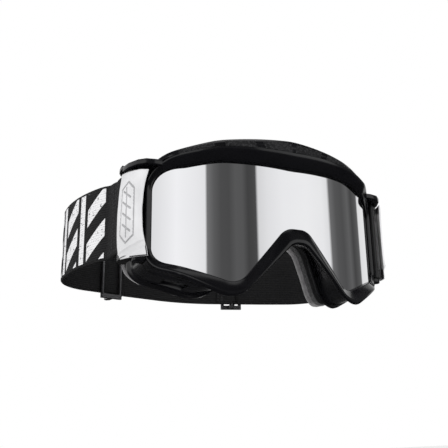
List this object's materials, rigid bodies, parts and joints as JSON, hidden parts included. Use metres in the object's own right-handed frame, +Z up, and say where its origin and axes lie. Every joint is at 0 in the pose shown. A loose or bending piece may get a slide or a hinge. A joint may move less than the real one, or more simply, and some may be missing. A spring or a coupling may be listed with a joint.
{
  "type": "motorcycle goggles",
  "caption": "Motocross goggles with a gloss black frame, mirrored cylindrical lens, foam face seal, white side outriggers and an elastic strap with metal sliders.",
  "frame": {"origin": "middle of the face seal, on the rear face of the foam above the nose", "axes": "+X to the wearer's left, -Y the way the wearer looks, +Z up"},
  "size_m": [0.2086, 0.1892, 0.0903],
  "materials": {
    "frame_black": "injection-moulded black polyurethane, high gloss",
    "lens_mirror": "chrome mirror coating on clear polycarbonate",
    "vent_foam": "open-cell filter foam, matt dark grey",
    "foam_dense": "closed-cell foam, matt",
    "foam_soft": "open-cell polyurethane foam, matt",
    "fleece": "short-pile polyester fleece",
    "pin_steel": "ground stainless steel",
    "outrigger_black": "moulded black nylon, satin",
    "cover_white": "moulded white plastic, satin, embossed",
    "strap_web": "woven black elastic webbing with a white printed pattern",
    "slider_metal": "die-cast grey metal, satin"
  },
  "bodies": {
    "root": {"frame": "frame_black", "lens": "lens_mirror", "vent_foam_top": "vent_foam", "vent_foam_bottom_left": "vent_foam", "vent_foam_bottom_right": "vent_foam", "face_foam_base": "foam_dense", "face_foam_middle": "foam_soft", "face_foam_fleece": "fleece", "hinge_pin_left": "pin_steel", "strap_left": "strap_web", "hinge_pin_right": "pin_steel", "strap_right": "strap_web"},
    "outrigger_left_body": {"outrigger_left": "outrigger_black", "outrigger_cover_left": "cover_white", "strap_end_loop_left": "strap_web"},
    "slider_left_body": {"slider_left": "slider_metal", "strap_tail_loop_left": "strap_web"},
    "outrigger_right_body": {"outrigger_right": "outrigger_black", "outrigger_cover_right": "cover_white", "strap_end_loop_right": "strap_web"},
    "slider_right_body": {"slider_right": "slider_metal", "strap_tail_loop_right": "strap_web"}
  },
  "joints": [
    {"name": "outrigger_left_hinge", "type": "hinge", "parent": "root", "child": "outrigger_left_body", "pos_m": [0.079, -0.009, 0.01], "axis": [0, 0, -1], "range_deg": [-3, 6]},
    {"name": "outrigger_right_hinge", "type": "hinge", "parent": "root", "child": "outrigger_right_body", "pos_m": [-0.079, -0.009, 0.01], "axis": [0, 0, 1], "range_deg": [-3, 6]},
    {"name": "slider_left_slide", "type": "slide", "parent": "root", "child": "slider_left_body", "axis": [0.9659, -0.2588, 0], "range_m": [0, 0.01]},
    {"name": "slider_right_slide", "type": "slide", "parent": "root", "child": "slider_right_body", "axis": [-0.9659, -0.2588, 0], "range_m": [0, 0.01]}
  ]
}
